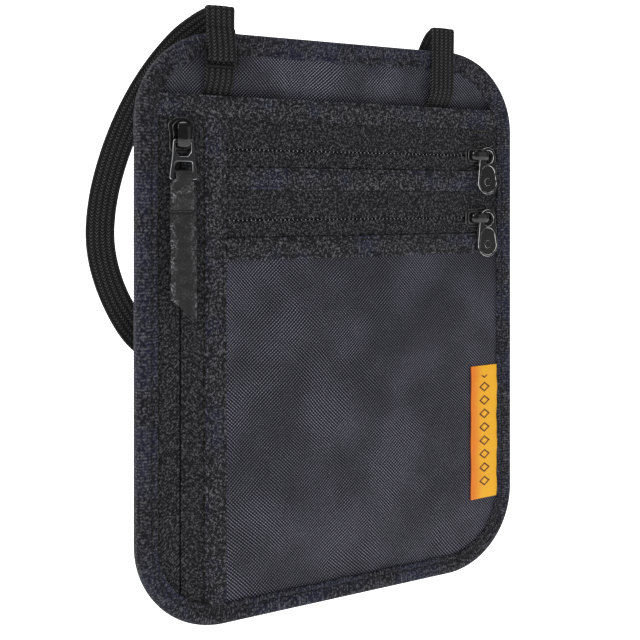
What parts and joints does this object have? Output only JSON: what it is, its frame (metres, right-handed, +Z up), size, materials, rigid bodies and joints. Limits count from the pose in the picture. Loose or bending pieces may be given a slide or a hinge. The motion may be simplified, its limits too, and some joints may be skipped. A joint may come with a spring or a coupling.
{
  "type": "neck pouch wallet",
  "caption": "Flat zipped travel pouch with a bound edge, two zips across its front organiser, one down its side, hinged pulls and a webbing neck strap with an adjuster.",
  "frame": {"origin": "on the pouch's centre line, at the height of the two creases where the neck strap folds over what the pouch hangs on", "axes": "+X to the right and +Y to the back, seen by someone who faces the pouch's front; +Z up, the way the pouch hangs"},
  "size_m": [0.1604, 0.0361, 0.2065],
  "materials": {
    "back_fabric": "dense twill weave, dark navy black",
    "metallised_liner": "thin metallised shielding cloth",
    "lining": "thin plain-weave lining",
    "front_fabric": "fine diagonal ripstop twill, slate navy with a soft sheen",
    "seam_tape": "flat woven tape, blue-black",
    "thread": "polyester sewing thread",
    "woven_label": "satin-woven label, golden yellow with an orange side and a light border",
    "binding_tape": "ribbed grosgrain tape, dark navy",
    "zip_tape": "herringbone-woven zip tape",
    "zip_coil": "nylon coil, black",
    "stop_metal": "pressed metal stop, black enamel",
    "black_enamel": "glossy black enamel on cast zinc",
    "pull_enamel": "glossy black enamel with bright worn rims",
    "gunmetal": "dark plated steel with bright edges",
    "leather": "black grained leather, worn at the fold",
    "leather_thread": "waxed thread",
    "webbing": "flat braided polyester webbing, black",
    "tie_band": "soft black keeper band",
    "adjuster_plastic": "moulded acetal, black"
  },
  "bodies": {
    "pouch": {"back_panel": "back_fabric", "rfid_liner": "metallised_liner", "pocket_back_panel": "back_fabric", "organiser_lining": "lining", "zip_divider": "lining", "lower_divider": "lining", "front_panel": "front_fabric", "top_strip": "seam_tape", "middle_strip": "seam_tape", "lower_strip": "seam_tape", "side_strip": "seam_tape", "strip_stitching": "thread", "side_label": "woven_label", "edge_binding": "binding_tape", "binding_stitching": "thread", "upper_zip_tape_above": "zip_tape", "upper_zip_tape_below": "zip_tape", "lower_zip_tape_above": "zip_tape", "lower_zip_tape_below": "zip_tape", "side_zip_tape_left": "zip_tape", "side_zip_tape_right": "zip_tape", "upper_zip_coil_above": "zip_coil", "upper_zip_coil_below": "zip_coil", "lower_zip_coil_above": "zip_coil", "lower_zip_coil_below": "zip_coil", "side_zip_coil_left": "zip_coil", "side_zip_coil_right": "zip_coil", "upper_zip_end_stop": "stop_metal", "upper_zip_top_stops": "stop_metal", "lower_zip_end_stop": "stop_metal", "lower_zip_top_stops": "stop_metal", "side_zip_end_stop": "stop_metal", "side_zip_top_stops": "stop_metal", "neck_strap_left": "webbing", "neck_strap_right": "webbing", "neck_strap_hank": "webbing", "strap_tie": "tie_band", "strap_bartacks": "thread"},
    "side_slider": {"side_zip_slider": "black_enamel", "side_zip_bridge": "black_enamel"},
    "side_link": {"pull_link": "gunmetal"},
    "leather_pull": {"pull_leather": "leather", "pull_stitches": "leather_thread"},
    "upper_slider": {"upper_zip_slider": "black_enamel", "upper_zip_bridge": "black_enamel"},
    "upper_pull": {"upper_zip_pull": "pull_enamel"},
    "lower_slider": {"lower_zip_slider": "black_enamel", "lower_zip_bridge": "black_enamel"},
    "lower_pull": {"lower_zip_pull": "pull_enamel"},
    "adjuster": {"strap_adjuster": "adjuster_plastic"}
  },
  "joints": [
    {"name": "side_zip_slide", "type": "slide", "parent": "pouch", "child": "side_slider", "axis": [0, 0, -1], "range_m": [0, 0.138]},
    {"name": "link_swing", "type": "hinge", "parent": "side_slider", "child": "side_link", "pos_m": [-0.0611, -0.0041, -0.04545], "axis": [-1, 0, 0], "range_deg": [0, 130]},
    {"name": "leather_swing", "type": "hinge", "parent": "side_link", "child": "leather_pull", "pos_m": [-0.0611, -0.0041, -0.0573], "axis": [-1, 0, 0], "range_deg": [0, 35]},
    {"name": "upper_zip_slide", "type": "slide", "parent": "pouch", "child": "upper_slider", "axis": [-1, 0, 0], "range_m": [0, 0.095]},
    {"name": "upper_pull_swing", "type": "hinge", "parent": "upper_slider", "child": "upper_pull", "pos_m": [0.06285, -0.0039, -0.0476], "axis": [0, 1, 0], "range_deg": [-90, 32]},
    {"name": "lower_zip_slide", "type": "slide", "parent": "pouch", "child": "lower_slider", "axis": [-1, 0, 0], "range_m": [0, 0.095]},
    {"name": "lower_pull_swing", "type": "hinge", "parent": "lower_slider", "child": "lower_pull", "pos_m": [0.06285, -0.0039, -0.0715], "axis": [0, 1, 0], "range_deg": [-90, 32]},
    {"name": "adjuster_slide", "type": "slide", "parent": "pouch", "child": "adjuster", "axis": [0, 0, 1], "range_m": [0, 0.008]}
  ]
}
